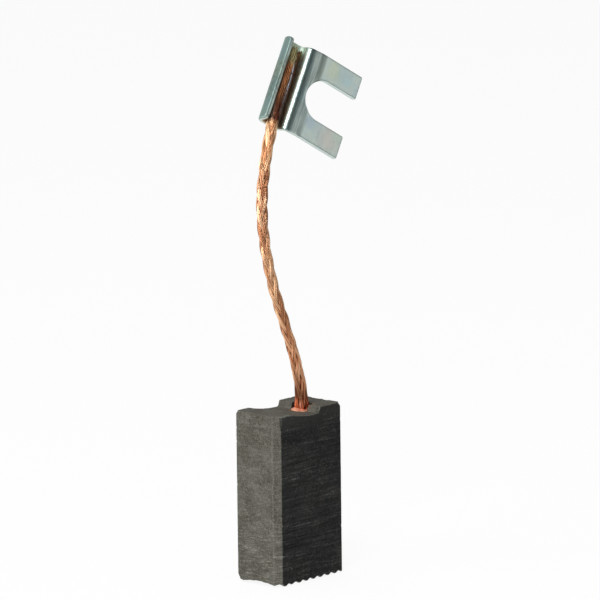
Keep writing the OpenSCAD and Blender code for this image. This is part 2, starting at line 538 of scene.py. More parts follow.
        # A painted bluish gleam, a thin line along the wires.
        gleam = lateral.distance_to(0.3).rise(0.12, 0.05) * along.rise(mouth + 1.0, mouth + 2.0)
        return tone.towards(self.sheen, gleam * fine.rise(0.35, 0.5) * 0.85)


@dataclass(frozen=True)
class TintSpot:
    """A patch where the passivation has another colour.

    Attributes:
        middle: Place of its middle along the strip and up it, in millimetres.
        reach: How far it spreads.
        colour: Its colour.
        share: How much of that colour shows.
    """

    middle: tuple[float, float]
    reach: float
    colour: Colour
    share: float


@dataclass(frozen=True)
class ZincPlate(Finish):
    """Zinc plating with a faint passivation tint, a weld mark behind, heat tint by the weld, painted shade in
    the trough and at the crease, and a face painted brighter than its back.

    Attributes:
        plate: Colour of the plating.
        cool: Its bluish patches.
        sheared: Colour of rubbed and sheared edges.
        ring: Colour of the weld mark's rim.
        burnt: Colour of its middle.
        brightest: The most that the plating throws back.
        weld: Place of the mark along the strip and up it, in millimetres.
        weld_r: Radius of the mark.
        crease: Place of the crease along the strip.
        near_wall: Place of the trough's near wall along the strip.
        spots: Patches of other tints.
    """

    plate: Colour = (0.505, 0.59, 0.55)
    cool: Colour = (0.43, 0.54, 0.54)
    sheared: Colour = (0.4, 0.45, 0.42)
    ring: Colour = (0.2, 0.225, 0.19)
    burnt: Colour = (0.11, 0.085, 0.068)
    brightest: Colour = (0.95, 0.96, 0.95)
    weld: tuple[float, float] = (2.0, 5.0)
    weld_r: float = 2.7
    crease: float = 6.95
    near_wall: float = 5.15
    spots: tuple[TintSpot, ...] = (
        TintSpot((11.0, 1.5), 2.6, (0.6, 0.52, 0.45), 0.45),
        TintSpot((7.9, 2.2), 0.9, (0.38, 0.47, 0.54), 0.6),
        TintSpot((8.8, 9.0), 1.6, (0.54, 0.6, 0.43), 0.55),
        TintSpot((11.2, 8.9), 1.3, (0.42, 0.6, 0.62), 0.5),
        TintSpot((12.4, 2.6), 1.0, (0.48, 0.6, 0.5), 0.5),
        TintSpot((7.5, 4.6), 1.2, (0.6, 0.56, 0.5), 0.45),
        TintSpot((0.4, 6.0), 1.6, (0.56, 0.6, 0.5), 0.45),
    )

    def paint(self, graph: Graph) -> None:
        """Builds the plating's tints, the rolled grain, the weld mark and the heat tint.

        Args:
            graph: The material's graph, still empty.
        """
        strip = graph.mark("strip", "Vector")
        across, side = strip.axis("X"), strip.axis("Z")
        grain = graph.noise(strip * (6.0, 0.5, 1.0), 1.0, 4.0, 0.75)
        mottle = graph.noise(strip, 2.4, 4.0, 0.65)
        wall, back = across.rise(1.5, 0.9), side.rise(0.0, 0.2)
        tone = self.rolled(graph, self.passivated(graph, strip, mottle), strip, grain)
        tone = tone.towards(self.sheared, graph.mark("cut") * (0.55 + 0.4 * mottle))
        # The free wall is darker and warmer about its middle, in mottled patches.
        darker_mid_wall = wall * strip.axis("Y").distance_to(5.0).rise(3.6, 1.6) * mottle.rise(0.4, 0.62)
        tone = tone.tinted(((0.62, 0.58, 0.5), darker_mid_wall * 0.7))

        away = (strip * (1.0, 1.0, 0.0) - (*self.weld, 0.0)).length() + (mottle - 0.5) * 0.25
        behind = side.rise(0.1, 0.2) * across.rise(4.3, 4.0) * across.rise(0.9, 1.3)
        mark = away.rise(self.weld_r, self.weld_r - 0.45) * behind
        tone = tone.tinted(((0.78, 0.72, 0.6), away.distance_to(self.weld_r).rise(0.6, 0.1) * behind * 0.6))
        burn = graph.between(self.ring, self.burnt, away.rise(2.1, 1.5) + (mottle - 0.5) * 0.5)
        tone = tone.towards(burn, mark * 0.94)

        within = across.rise(0.1, 0.8) * across.rise(5.1, 4.82) * side.rise(-0.1, -0.2)
        # The back is toned down here while the face is painted brighter below: painted light that makes up
        # for the dim surroundings that the face mirrors.
        tone = self.heated(graph, tone, strip, within).tinted(
            ((0.64, 0.7, 0.7), back),
            ((0.72, 0.78, 0.82), back * across.rise(5.2, 5.5)),
            ((0.8, 0.83, 0.84), back * wall),
        )
        roughness = 0.2 + 0.16 * mottle + 0.1 * grain + 0.2 * mark + 0.25 * within + 0.2 * back
        relief = 0.009 * grain + 0.01 * mottle - 0.06 * mark + 0.012 * mark * mottle
        # The plating is painted about 1.5 times brighter, which the back's tints above largely undo: painted
        # light for the dim surroundings that the face mirrors.
        tone = (tone * 1.52).at_most(self.brightest)
        graph.surface(tone, roughness, relief * (1.0 - 0.75 * back), {"Metallic": 1.0})

    def passivated(self, graph: Graph, strip: Socket, mottle: Socket) -> Socket:
        """The plating's colour with its bluish patches and its spots of other tints.

        Args:
            graph: The material's graph.
            strip: Where a point is on the flat strip.
            mottle: Fine noise.

        Returns:
            The colour.
        """
        flat = strip * (1.0, 1.0, 0.0)
        drift = graph.noise(flat, 0.35, 2.0, 0.5)
        warmth = graph.noise(flat + (11.0, 4.0, 0.0), 0.42, 3.0, 0.6)
        frayed = (warmth - 0.5) * 2.6 + (mottle - 0.5) * 1.2
        tone = graph.between(self.plate, self.cool, drift.rise(0.42, 0.6) * 0.8)
        for spot in self.spots:
            away = (flat - (*spot.middle, 0.0)).length() + frayed
            tone = tone.towards(spot.colour, away.rise(spot.reach, 0.2 * spot.reach) * spot.share)
        return tone

    def rolled(self, graph: Graph, tone: Socket, strip: Socket, grain: Socket) -> Socket:
        """The colour with the rolled grain, the drawn streaks, the ribs of the bends, and painted shade on
        the near wall and at the crease.

        Args:
            graph: The material's graph.
            tone: The colour so far.
            strip: Where a point is on the flat strip.
            grain: The sheet's grain.

        Returns:
            The colour.
        """
        across, face = strip.axis("X"), strip.axis("Z").rise(0.05, -0.05)
        wall, bends = across.rise(1.5, 0.9), across.rise(7.6, 6.9) * face
        streaked = wall * face
        drawn = graph.noise(strip * (7.0, 0.22, 1.0) + (0.0, 5.0, 3.0), 1.0, 2.0, 0.6)
        ribs = graph.noise(strip * (2.7, 0.1, 1.0) + (6.0, 2.0, 7.0), 1.0, 3.0, 0.7)
        ribbed = bends * across.rise(5.5, 5.8)
        crease_shade = across.distance_to(self.crease).rise(0.6, 0.15) * face
        return tone.tinted(
            ((0.6, 0.63, 0.63), grain.rise(0.46, 0.66) * (0.14 + 0.5 * bends + 0.3 * streaked)),
            ((1.5, 1.5, 1.48), grain.rise(0.46, 0.3) * (0.06 + 0.3 * bends + 0.4 * streaked)),
            ((0.42, 0.47, 0.46), drawn.rise(0.5, 0.64) * streaked * 0.8),
            ((1.6, 1.6, 1.58), drawn.rise(0.48, 0.36) * streaked * 0.7),
            # Painted shade: a darker band on the trough's near wall.
            ((0.62, 0.63, 0.62), across.distance_to(self.near_wall).rise(0.5, 0.3) * face),
            ((0.72, 0.73, 0.71), wall),
            ((0.62, 0.65, 0.65), ribs.rise(0.5, 0.66) * ribbed),
            ((1.3, 1.29, 1.28), ribs.rise(0.48, 0.34) * ribbed),
            # Painted shade: a dark band at the crease and a dark line by the near wall.
            ((0.33, 0.34, 0.33), crease_shade * (0.2 + 0.8 * strip.axis("Y").rise(5.5, 8.0)) * 0.85),
            ((0.3, 0.36, 0.37), across.distance_to(self.near_wall + 0.35).rise(0.4, 0.14) * face * 0.85),
        )

    def heated(self, graph: Graph, tone: Socket, strip: Socket, within: Socket) -> Socket:
        """The colour with the heat tint inside the trough and painted shade on the inside of its near wall.

        Args:
            graph: The material's graph.
            tone: The colour so far.
            strip: Where a point is on the flat strip.
            within: 1 inside the trough, 0 outside.

        Returns:
            The colour.
        """
        across, up = strip.axis("X"), strip.axis("Y")
        heat = within * graph.noise(strip, 0.8, 3.0).rise(0.3, 0.6)
        return tone.tinted(
            ((0.7, 0.45, 0.28), heat * 0.85 * up.rise(10.2, 8.4)),
            # Painted shade on the inside of the near wall.
            ((0.35, 0.26, 0.2), within * across.rise(4.2, 4.7) * up.rise(9.6, 8.2) * 0.8),
            ((0.72, 0.7, 0.52), within * 0.6 * up.rise(8.0, 9.4)),
        )


@dataclass(frozen=True)
class PaleFloor(Finish):
    """A white floor that keeps the object's shadow.

    Attributes:
        white: Colour of the floor.
        glow: Share of plain white that the camera sees.
        dim: Brightness of the side that metal mirrors dimmer.
        right: Direction on the floor towards that side.
    """

    white: Colour = (0.92, 0.92, 0.92)
    glow: float = 0.9
    dim: float = 0.12
    right: tuple[float, float] = (0.667, -0.745)

    def paint(self, graph: Graph) -> None:
        """Builds the floor's diffuse white and the plain white that is mixed into it.

        Args:
            graph: The material's graph, still empty.
        """
        glossy = graph.ray("Glossy")
        place = graph.add("ShaderNodeTexCoord", {}, {}, "Object")
        aside = self.right[0] * place.axis("X") + self.right[1] * place.axis("Y")
        diffuse = graph.add("ShaderNodeBsdfDiffuse", {}, {"Color": self.white})
        plain = graph.add("ShaderNodeEmission", {}, {"Color": PURE_WHITE, "Strength": 1.0})
        dim = graph.add("ShaderNodeEmission", {}, {"Color": PURE_WHITE, "Strength": self.dim})
        seen = graph.ray("Camera") * self.glow + glossy * (0.12 + 0.7 * aside.rise(0.07, -0.05))
        lit = graph.add("ShaderNodeMixShader", {}, {0: seen, 1: diffuse, 2: plain})
        shaded = glossy * aside.rise(0.02, 0.12) * 0.85
        graph.finish(graph.add("ShaderNodeMixShader", {}, {0: shaded, 1: lit, 2: dim}))


# ---------------------------------------------------------------- meshes


@dataclass(frozen=True)
class Lattice:
    """Smooth noise for relief that is cut into a mesh.

    Attributes:
        AXIS_PRIMES: What each axis is stirred with.
        SEED_PRIME: What the seed is stirred with.
        STIR_PRIME: What the sum is stirred with.
        LOW_BITS: The bits that are kept.
        seed: What tells one noise from another.
    """

    AXIS_PRIMES: ClassVar[tuple[int, int, int]] = (73856093, 19349663, 83492791)
    SEED_PRIME: ClassVar[int] = 668265263
    STIR_PRIME: ClassVar[int] = 1274126177
    LOW_BITS: ClassVar[int] = 0xFFFFFFFF
    seed: int

    def _corner(self, cell: np.ndarray) -> np.ndarray:
        """Random numbers at whole places.

        Args:
            cell: The places, one row each.

        Returns:
            One number from -1 to 1 for each place.
        """
        mixed = np.int64(self.seed * self.SEED_PRIME)
        for axis, prime in enumerate(self.AXIS_PRIMES):
            mixed = mixed ^ (cell[:, axis] * prime)
        mixed &= self.LOW_BITS
        mixed = ((mixed ^ (mixed >> 13)) * self.STIR_PRIME) & self.LOW_BITS
        mixed = (mixed ^ (mixed >> 16)) & self.LOW_BITS
        return mixed.astype(float) / (self.LOW_BITS // 2) - 1.0

    def at(self, points: np.ndarray, step: float | Sequence[float]) -> np.ndarray:
        """Reads the noise.

        Args:
            points: Places, one row each, in millimetres.
            step: Size of the noise's cells, one number or one for each axis.

        Returns:
            One number from -1 to 1 for each place.
        """
        scaled = points / np.asarray(step, float)
        cell = np.floor(scaled).astype(np.int64)
        part = scaled - cell
        part = part * part * (3.0 - 2.0 * part)
        total = np.zeros(len(points))
        for corner in np.ndindex(2, 2, 2):
            offset = np.array(corner)
            weight = np.prod(np.where(offset == 1, part, 1.0 - part), axis=1)
            total += weight * self._corner(cell + offset)
        return total

    def one(self, x: float, y: float, z: float) -> float:
        """Reads the noise at one place, in cells."""
        return self.at(np.array([[x, y, z]]), 1.0)[0]


@dataclass
class Skin:
    """A mesh that is being shaped.

    Attributes:
        points: Places of its points in millimetres, one row each.
        faces: Point numbers of its quads, one row each.
        marks: Numbers or vectors that its points carry for the shaders, by name.
    """

    points: np.ndarray
    faces: np.ndarray
    marks: dict[str, np.ndarray] = field(default_factory=dict)

    @classmethod
    def of_voxels(cls, source: bpy.types.Object, voxel: float) -> Skin:
        """Wraps a closed object in an even mesh.

        Args:
            source: The object, in millimetres. It is deleted.
            voxel: Size of the mesh's quads.

        Returns:
            The even mesh.
        """
        modifier = source.modifiers.new("voxels", "REMESH")
        modifier.mode = "VOXEL"
        modifier.voxel_size = voxel
        shown = source.evaluated_get(bpy.context.evaluated_depsgraph_get())
        mesh = bpy.data.meshes.new_from_object(shown)
        points = np.zeros(len(mesh.vertices) * 3)
        mesh.vertices.foreach_get("co", points)
        faces = np.zeros(len(mesh.polygons) * 4, np.int64)
        mesh.polygons.foreach_get("vertices", faces)
        bpy.data.objects.remove(source)
        bpy.data.meshes.remove(mesh)
        return cls(points.reshape(-1, 3), faces.reshape(-1, 4))

    @classmethod
    def joined(cls, skins: Sequence[Skin]) -> Skin:
        """One mesh of several that carry the same marks.

        Args:
            skins: The meshes.

        Returns:
            The joined mesh.
        """
        starts = np.cumsum([0] + [len(skin.points) for skin in skins[:-1]])
        marks = {name: np.concatenate([skin.marks[name] for skin in skins]) for name in skins[0].marks}
        return cls(
            np.concatenate([skin.points for skin in skins]),
            np.concatenate([skin.faces + start for skin, start in zip(skins, starts)]),
            marks,
        )

    def relaxed(self, rounds: int) -> np.ndarray:
        """Places of the points after each has moved to the mean of its neighbours a number of times.

        Args:
            rounds: How many times.

        Returns:
            The new places. The mesh itself isn't changed.
        """
        pairs = np.concatenate([self.faces[:, [i, (i + 1) % 4]] for i in range(4)])
        pairs = np.unique(np.sort(pairs, axis=1), axis=0)
        ends = np.concatenate([pairs[:, 0], pairs[:, 1]])
        others = np.concatenate([pairs[:, 1], pairs[:, 0]])
        count = np.bincount(ends, minlength=len(self.points))
        places = self.points.copy()
        for _ in range(rounds):
            for axis in range(3):
                total = np.bincount(ends, weights=places[others, axis], minlength=len(places))
                places[:, axis] = 0.5 * places[:, axis] + 0.5 * total / count
        return places

    def normals(self) -> np.ndarray:
        """Works out which way the surface faces.

        Returns:
            The outward unit normal at each point.
        """
        corners = self.points[self.faces]
        face = np.cross(corners[:, 2] - corners[:, 0], corners[:, 3] - corners[:, 1])
        total = np.zeros_like(self.points)
        for axis in range(3):
            for corner in range(4):
                total[:, axis] += np.bincount(
                    self.faces[:, corner], weights=face[:, axis], minlength=len(self.points)
                )
        return total / np.maximum(np.linalg.norm(total, axis=1, keepdims=True), 1e-12)

    def to_object(self, name: str, finish: Finish, slot: str) -> bpy.types.Object:
        """Makes the mesh an object of the scene that rides with the part.

        Args:
            name: The piece's name.
            finish: What it looks like.
            slot: The material slot of the record for the piece; not used.

        Returns:
            The object.
        """
        mesh = bpy.data.meshes.new(name)
        mesh.from_pydata((self.points * MM).tolist(), [], self.faces.tolist())
        mesh.polygons.foreach_set("use_smooth", np.ones(len(mesh.polygons), bool))
        for mark, numbers in self.marks.items():
            vector = numbers.ndim == 2
            layer = mesh.attributes.new(mark, "FLOAT_VECTOR" if vector else "FLOAT", "POINT")
            layer.data.foreach_set("vector" if vector else "value", numbers.astype(np.float32).ravel())
        mesh.materials.append(finish.material())
        piece = bpy.data.objects.new(name, mesh)
        bpy.context.scene.collection.objects.link(piece)
        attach(piece, ROOT)
        LOG.info("%s: %d points, %d quads", name, len(self.points), len(self.faces))
        return piece


def ring_faces(rows: int, sides: int) -> np.ndarray:
    """Quads between rings of points that lie one after the other.

    Args:
        rows: How many rings.
        sides: Points in each ring.

    Returns:
        Point numbers of the quads, one row each.
    """
    ring, side = np.meshgrid(np.arange(rows - 1), np.arange(sides), indexing="ij")
    first = (ring * sides + side).ravel()
    second = (ring * sides + (side + 1) % sides).ravel()
    return np.stack([first, second, second + sides, first + sides], axis=1)


def tube(centres: np.ndarray, across: np.ndarray, over: np.ndarray) -> Skin:
    """Sweeps a six-sided ring along a line.

    Args:
        centres: Places along the line, one row each.
        across: The ring's first half axis at each place.
        over: The ring's second half axis at each place.

    Returns:
        The tube, open at its ends.
    """
    angles = np.arange(TUBE_SIDES) * 2 * math.pi / TUBE_SIDES
    rings = (
        centres[:, None, :]
        + np.cos(angles)[None, :, None] * across[:, None, :]
        + np.sin(angles)[None, :, None] * over[:, None, :]
    )
    return Skin(rings.reshape(-1, 3), ring_faces(len(centres), TUBE_SIDES))


def unit(vectors: np.ndarray) -> np.ndarray:
    """Vectors made one long, one row each."""
    return vectors / np.linalg.norm(vectors, axis=1, keepdims=True)


def ramp(numbers: np.ndarray, start: float, reach: float) -> np.ndarray:
    """Straight step from 0 at the start to 1 after the reach."""
    return np.clip((numbers - start) / reach, 0, 1)


def hill(numbers: np.ndarray, centre: float, width: float) -> np.ndarray:
    """Round hill of height 1 at the centre."""
    return np.exp(-(((numbers - centre) / width) ** 2))


# ---------------------------------------------------------------- the pieces


@dataclass(frozen=True)
class Course:
    """The pigtail's smooth middle line.

    Attributes:
        centres: Its places, one row each.
        along: How far along it each place is.
        across: Direction across the terminal's trough at each place.
        over: Direction out of the trough at each place.
        pressed: How flat the braid is pressed at each place, from 0 to 1.
    """

    centres: np.ndarray
    along: np.ndarray
    across: np.ndarray
    over: np.ndarray
    pressed: np.ndarray


@dataclass
class Pigtail:
    """The braided copper lead, from the tamped plug to its welded end in the terminal.

    Attributes:
        route: The points that it follows, in millimetres.
        diameter: Its diameter.
        lay: Length in which a bundle of wires goes once round.
        bundles: Bundles that wind each way.
        wires: Wires in each bundle.
        wire_r: Radius of a wire.
        spacing: Distance between the wires of a bundle, in radii of a wire.
        core_in: How far inside the braid's surface the core is, in radii of a wire.
        stations: Places along the route at which the braid is drawn.
        spline_steps: Places that are worked out between two points of the route.
        beyond: How far the longest wires go on past the route's end, in shares of its last step.
        ragged: The most stations by which a wire is shorter than the longest.
        core_short: Stations by which the core is.
        slack: Length of winding that is missing at the root, and the length over which it goes missing.
        straight: Length of the end in which the wires hardly wind, and how much they still do.
        flattened: Length of the end that is pressed flat, and of the change to it.
        widened: How much wider the flat end is, how much thinner, and how far it lies off the middle.
        swollen: Place from which the braid swells, the length over which it does, and how much.
        flares: How much the braid is wider at the root, and over what length: the loose part and the whole.
        lumps: Depth of the braid's lumps and the distance between them.
        sway: How far bundles and single wires turn aside, in radians.
        crossing: How far wires rise over those they cross.
        unevenness: How far single wires, bundles and a bundle's outer wires stand off the braid's surface.
        strays: Rise of the wires that stand out, the place of the first, the step to the next, their length.
        fray: Length of the frayed end, and how far its wires spread.
    """

    route: tuple[tuple[float, float, float], ...] = (
        (2.2, -0.1, 19.3), (2.1, -0.2, 20.6), (1.7, -0.4, 22.2), (1.0, -0.5, 24.4),
        (0.3, -0.5, 26.6), (-0.4, -0.3, 28.8), (-1.0, 0.0, 31.0), (-1.5, 0.4, 33.2),
        (-1.8, 0.8, 35.4), (-2.0, 1.2, 37.6), (-1.9, 1.7, 39.9), (-1.7, 2.1, 42.2),
        (-1.2, 2.5, 44.5), (-0.4, 2.9, 46.7), (0.5, 3.3, 48.8), (1.4, 3.6, 50.6),
        (2.2, 3.8, 52.2), (3.4, 4.0, 54.0), (4.7, 4.2, 55.8), (5.9, 4.4, 57.7), (7.1, 4.6, 59.5),
    )  # fmt: skip
    diameter: float = 1.2
    lay: float = 14.5
    bundles: int = 6
    wires: int = 4
    wire_r: float = 0.064
    spacing: float = 1.9
    core_in: float = 3.6
    stations: int = 220
    spline_steps: int = 24
    beyond: float = 0.32
    ragged: int = 8
    core_short: int = 5
    slack: tuple[float, float] = (2.4, 2.6)
    straight: tuple[float, float] = (8.2, 0.12)
    flattened: tuple[float, float] = (7.3, 0.6)
    widened: tuple[float, float, float] = (0.68, 0.3, 0.2)
    swollen: tuple[float, float, float] = (20.0, 6.0, 0.1)
    flares: tuple[tuple[float, float], tuple[float, float]] = ((0.36, 1.2), (0.16, 7.0))
    lumps: tuple[float, float] = (0.035, 3.1)
    sway: tuple[float, float] = (0.14, 0.07)
    crossing: float = 0.07
    unevenness: tuple[float, float, float] = (0.02, 0.014, -0.03)
    strays: tuple[float, float, float, float] = (0.09, 12.0, 2.9, 1.6)
    fray: tuple[float, float] = (1.6, 0.2)

    def course(self, reference: Vector) -> Course:
        """The smooth middle line through the route.

        Args:
            reference: The terminal's direction across its trough.

        Returns:
            The middle line.
        """
        points = np.array(self.route)
        points = np.vstack([points, points[-1] + self.beyond * (points[-1] - points[-2])])
        padded = np.vstack([2 * points[0] - points[1], points, 2 * points[-1] - points[-2]])
        t = np.linspace(0, 1, self.spline_steps, endpoint=False)[:, None]
        steps = []
        for a, b, c, d in zip(padded, padded[1:], padded[2:], padded[3:]):
            square, cube = 2 * a - 5 * b + 4 * c - d, 3 * b - a - 3 * c + d
            steps.append(0.5 * (2 * b + (c - a) * t + square * t**2 + cube * t**3))
        line = np.vstack(steps + [points[-1:]])
        reached = np.concatenate([[0], np.cumsum(np.linalg.norm(np.diff(line, axis=0), axis=1))])
        along = np.linspace(0, reached[-1], self.stations)
        centres = np.stack([np.interp(along, reached, line[:, k]) for k in range(3)], axis=1)
        ahead = unit(np.gradient(centres, axis=0))
        across = unit(np.array(reference)[None, :] - (ahead @ np.array(reference))[:, None] * ahead)
        length, change = self.flattened
        pressed = 1 / (1 + np.exp(-(along - along[-1] + length) / change))
        return Course(centres, along, across, np.cross(ahead, across), pressed)

    def laid(self, along: np.ndarray) -> np.ndarray:
        """Length in which the wires have wound: less of it at the root, and hardly any in the terminal.

        Args:
            along: Places along the pigtail.

        Returns:
            The length at each place.
        """
        missing, reach = self.slack
        laid = along - missing * (1 - np.exp(-along / reach))
        length, share = self.straight
        entry = along[-1] - length
        return np.where(along > entry, np.interp(entry, along, laid) + share * (along - entry), laid)

    def radius(
        self, course: Course, bundle: int, place: int, crest: np.ndarray, sway: np.ndarray
    ) -> np.ndarray:
        """Distance of a wire from the pigtail's middle.

        Args:
            course: The pigtail's middle line.
            bundle: Which bundle the wire is in.
            place: The wire's place in its bundle.
            crest: How far the bundle lies over those that it crosses, from -1 to 1.
            sway: Noise of the wire and of its bundle, one row each.

        Returns:
            The distance at each place.
        """
        along, (own, shared) = course.along, sway
        alone, together, outer = self.unevenness
        radius = self.middle_r() + self.crossing * crest + alone * own + together * shared
        radius += outer * self.off_middle(place) ** 2
        depth, step = self.lumps
        radius *= 1 + depth * Lattice(3).at(np.stack([along, along * 0, along * 0], axis=1), step)
        (loose, loose_reach), (whole, whole_reach) = self.flares
        flare = loose * hill(along, 0, loose_reach) * (1 + 0.3 * own) + whole * hill(along, 0, whole_reach)
        start, reach, share = self.swollen
        radius *= (1 + flare) * (1 + share * ramp(along, start, reach) * (1 - course.pressed))
        if place == self.wires - 1 and bundle % 3 == 0:
            rise, first, step, length = self.strays
            radius += rise * hill(along, first + step * bundle, length)
        length, spread = self.fray
        return radius * (1 + spread * ramp(along, along[-1] - length, length) ** 2 * own)

    def middle_r(self) -> float:
        """Mean distance of the wires from the pigtail's middle."""
        return self.diameter / 2 - self.wire_r - 0.03

    def off_middle(self, place: int) -> float:
        """How far a wire is from its bundle's middle: -1 and 1 for the outer wires."""
        half = (self.wires - 1) / 2
        return (place - half) / half

    def wire(self, course: Course, bundle: int, way: int, place: int) -> Skin:
        """One fine wire of the braid.

        Args:
            course: The pigtail's middle line.
            bundle: Which bundle the wire is in.
            way: 1 for the bundles that wind to the left, -1 for the others.
            place: The wire's place in its bundle.

        Returns:
            The wire's tube with its marks.
        """
        along, pressed = course.along, course.pressed
        seed = 1 + bundle * 17 + place + (100 if way > 0 else 0)
        wander = Lattice(seed)
        line = np.stack([along, np.full_like(along, bundle * 3.1), np.full_like(along, way * 2.3)], axis=1)
        own, shared = wander.at(line + place, 1.5), Lattice(5 + way).at(line, 2.4)
        rounds = self.laid(along) / self.lay
        crest = way * np.cos(math.pi / 2 * (2 * bundle + way * 2 * self.bundles * rounds - 0.5))
        radius = self.radius(course, bundle, place, crest, np.stack([own, shared]))
        angle = 2 * math.pi * (way * rounds + bundle / self.bundles)
        angle += self.sway[0] * shared + self.sway[1] * own
        angle += self.off_middle(place) * (self.wires - 1) / 2 * self.spacing * self.wire_r / self.middle_r()

        wider, thinner, lifted = self.widened
        out = (np.cos(angle) * (1 + wider * pressed))[:, None] * course.across
        out = out + (np.sin(angle) * (1 - thinner * pressed))[:, None] * course.over
        middle = course.centres + radius[:, None] * out + (lifted * pressed)[:, None] * course.over
        ahead = unit(np.gradient(middle, axis=0))
        side = unit(np.cross(ahead, unit(out)))
        keep = len(along) - int(round(self.ragged * abs(wander.one(0.5, 0.5, seed * 1.3))))
        thick = np.full((keep, 1), self.wire_r)
        thick[-1] *= 0.35
        skin = tube(middle[:keep], thick * np.cross(side, ahead)[:keep], thick * side[:keep])

        shade = 0.4 * Lattice(7 + way).one(bundle * 1.7, 0.5, 0.5) + 0.45 * wander.one(0.5, 0.5, seed)
        outward = np.tile(np.cos(np.arange(TUBE_SIDES) * 2 * math.pi / TUBE_SIDES), keep)
        along, crest, shared, angle = (row[:keep].repeat(TUBE_SIDES) for row in (along, crest, shared, angle))
        # The crest mark is high where a wire lies over others and faces out, and low where it lies under and
        # faces in; the copper's finish paints highlight where it is high and shade where it is low.
        painted_light_share = 0.58 + 0.26 * crest + 0.24 * outward - 0.2 * self.off_middle(place) ** 2
        skin.marks["along"] = along
        skin.marks["lateral"] = np.cos(angle)
        skin.marks["crest"] = np.clip(painted_light_share, 0, 1)
        skin.marks["strand"] = np.clip(0.5 + shade + 0.3 * shared, 0, 1)
        return skin

    def core(self, course: Course) -> Skin:
        """The core that closes the gaps between the wires, painted dark as the shade between them.

        Args:
            course: The pigtail's middle line.

        Returns:
            The core's tube with its marks.
        """
        radius = self.diameter / 2 - self.core_in * self.wire_r
        wider, thinner, lifted = self.widened
        pressed = course.pressed[:, None]
        middle = course.centres + lifted * pressed * course.over
        wide = radius * (1 + wider * pressed) * course.across
        thin = radius * (1 - thinner * pressed) * course.over
        kept = slice(0, -self.core_short)
        skin = tube(middle[kept], wide[kept], thin[kept])
        skin.marks["along"] = course.along[kept].repeat(TUBE_SIDES)
        # A crest of 0 paints the core with the painted shade between the wires.
        for mark, number in (("lateral", 0.0), ("crest", 0.0), ("strand", 0.8)):
            skin.marks[mark] = np.full(len(skin.points), number)
        return skin

    def build(self, finish: Finish, across: Vector, terminal: bpy.types.Object) -> bpy.types.Object:
        """Args:
            finish: What the wires look like.
            across: The terminal's direction across its trough.
            terminal: The terminal that the pigtail ends in; not used.

        Returns:
            The piece.
        """
        course = self.course(across)
        skins = [
            self.wire(course, bundle, way, place)
            for way in (1, -1)
            for bundle in range(self.bundles)
            for place in range(self.wires)
        ]
        skins.append(self.core(course))
        piece = Skin.joined(skins).to_object("braided_pigtail", finish, "copper_braid")
        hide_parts("pigtail")
        centres = course.centres[:: max(1, len(course.centres) // 40)].tolist()
        [tuple(c * MM for c in point) for point in (*centres, self.route[-1])]
        return piece


